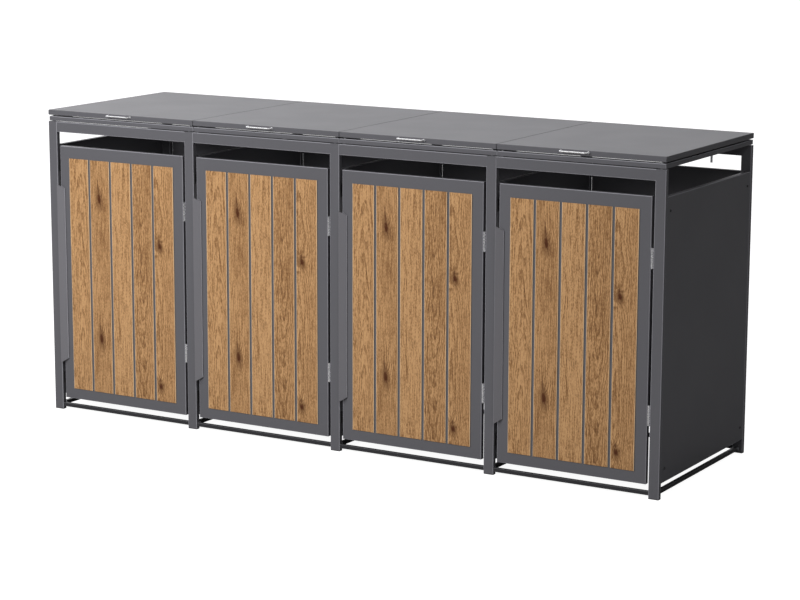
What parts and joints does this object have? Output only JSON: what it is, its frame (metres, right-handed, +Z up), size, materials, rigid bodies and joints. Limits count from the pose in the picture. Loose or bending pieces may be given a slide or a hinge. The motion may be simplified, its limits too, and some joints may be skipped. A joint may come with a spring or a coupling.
{
  "type": "recycling bin station",
  "caption": "Free-standing steel refuse bin station: a row of bays, each with a hinged plank-faced front door and a hinged lid with a bow handle.",
  "frame": {"origin": "on the ground, at the centre of the bounding box", "axes": "+X along the row towards the doors' hinge side, +Y from the doors to the back, +Z up"},
  "size_m": [2.643, 0.8002, 1.2],
  "materials": {
    "anthracite_steel": "satin powder coat",
    "oak_plank": "oiled oak with knots",
    "hinge_steel": "zinc plated",
    "bright_steel": "polished stainless",
    "zinc_steel": "zinc plated",
    "dark_screw": "black oxide",
    "buffer_rubber": "matte",
    "black_plastic": "matte"
  },
  "bodies": {
    "frame": {"front_post_1": "anthracite_steel", "front_post_2": "anthracite_steel", "front_post_3": "anthracite_steel", "front_post_4": "anthracite_steel", "front_post_5": "anthracite_steel", "back_posts": "anthracite_steel", "top_rails": "anthracite_steel", "floor_rails_long": "anthracite_steel", "floor_rails_side": "anthracite_steel", "foot_caps": "black_plastic", "post_lugs": "anthracite_steel", "roof_frame_1": "anthracite_steel", "roof_frame_2": "anthracite_steel", "roof_frame_3": "anthracite_steel", "roof_frame_4": "anthracite_steel", "side_panel_left": "anthracite_steel", "side_panel_right": "anthracite_steel", "partition_panel_1": "anthracite_steel", "partition_panel_2": "anthracite_steel", "partition_panel_3": "anthracite_steel", "back_panel_1": "anthracite_steel", "back_panel_2": "anthracite_steel", "back_panel_3": "anthracite_steel", "back_panel_4": "anthracite_steel", "panel_screws": "dark_screw", "frame_bolts": "zinc_steel", "lid_buffer_pads": "buffer_rubber", "lid_buffer_studs": "zinc_steel", "magnet_catches": "black_plastic", "door_hinge_post_leaves": "hinge_steel", "lid_hinge_frame_leaves": "hinge_steel"},
    "door_1": {"door_shell_1": "anthracite_steel", "door_planks_1": "oak_plank", "door_grip_1": "anthracite_steel", "door_hinge_leaf_1": "hinge_steel"},
    "lid_1": {"lid_shell_1": "anthracite_steel", "lid_handle_1": "bright_steel", "lid_hinge_leaf_1": "hinge_steel"},
    "door_2": {"door_shell_2": "anthracite_steel", "door_planks_2": "oak_plank", "door_grip_2": "anthracite_steel", "door_hinge_leaf_2": "hinge_steel"},
    "lid_2": {"lid_shell_2": "anthracite_steel", "lid_handle_2": "bright_steel", "lid_hinge_leaf_2": "hinge_steel"},
    "door_3": {"door_shell_3": "anthracite_steel", "door_planks_3": "oak_plank", "door_grip_3": "anthracite_steel", "door_hinge_leaf_3": "hinge_steel"},
    "lid_3": {"lid_shell_3": "anthracite_steel", "lid_handle_3": "bright_steel", "lid_hinge_leaf_3": "hinge_steel"},
    "door_4": {"door_shell_4": "anthracite_steel", "door_planks_4": "oak_plank", "door_grip_4": "anthracite_steel", "door_hinge_leaf_4": "hinge_steel"},
    "lid_4": {"lid_shell_4": "anthracite_steel", "lid_handle_4": "bright_steel", "lid_hinge_leaf_4": "hinge_steel"}
  },
  "joints": [
    {"name": "door_swing_1", "type": "hinge", "parent": "frame", "child": "door_1", "pos_m": [-0.6755, -0.3772, 0.5725], "axis": [0, 0, 1], "range_deg": [0, 110]},
    {"name": "door_swing_2", "type": "hinge", "parent": "frame", "child": "door_2", "pos_m": [-0.0255, -0.3772, 0.5725], "axis": [0, 0, 1], "range_deg": [0, 110]},
    {"name": "door_swing_3", "type": "hinge", "parent": "frame", "child": "door_3", "pos_m": [0.6245, -0.3772, 0.5725], "axis": [0, 0, 1], "range_deg": [0, 110]},
    {"name": "door_swing_4", "type": "hinge", "parent": "frame", "child": "door_4", "pos_m": [1.2745, -0.3772, 0.5725], "axis": [0, 0, 1], "range_deg": [0, 110]},
    {"name": "lid_lift_1", "type": "hinge", "parent": "frame", "child": "lid_1", "pos_m": [-0.975, 0.3953, 1.1775], "axis": [-1, 0, 0], "range_deg": [0, 100]},
    {"name": "lid_lift_2", "type": "hinge", "parent": "frame", "child": "lid_2", "pos_m": [-0.325, 0.3953, 1.1775], "axis": [-1, 0, 0], "range_deg": [0, 100]},
    {"name": "lid_lift_3", "type": "hinge", "parent": "frame", "child": "lid_3", "pos_m": [0.325, 0.3953, 1.1775], "axis": [-1, 0, 0], "range_deg": [0, 100]},
    {"name": "lid_lift_4", "type": "hinge", "parent": "frame", "child": "lid_4", "pos_m": [0.975, 0.3953, 1.1775], "axis": [-1, 0, 0], "range_deg": [0, 100]}
  ]
}
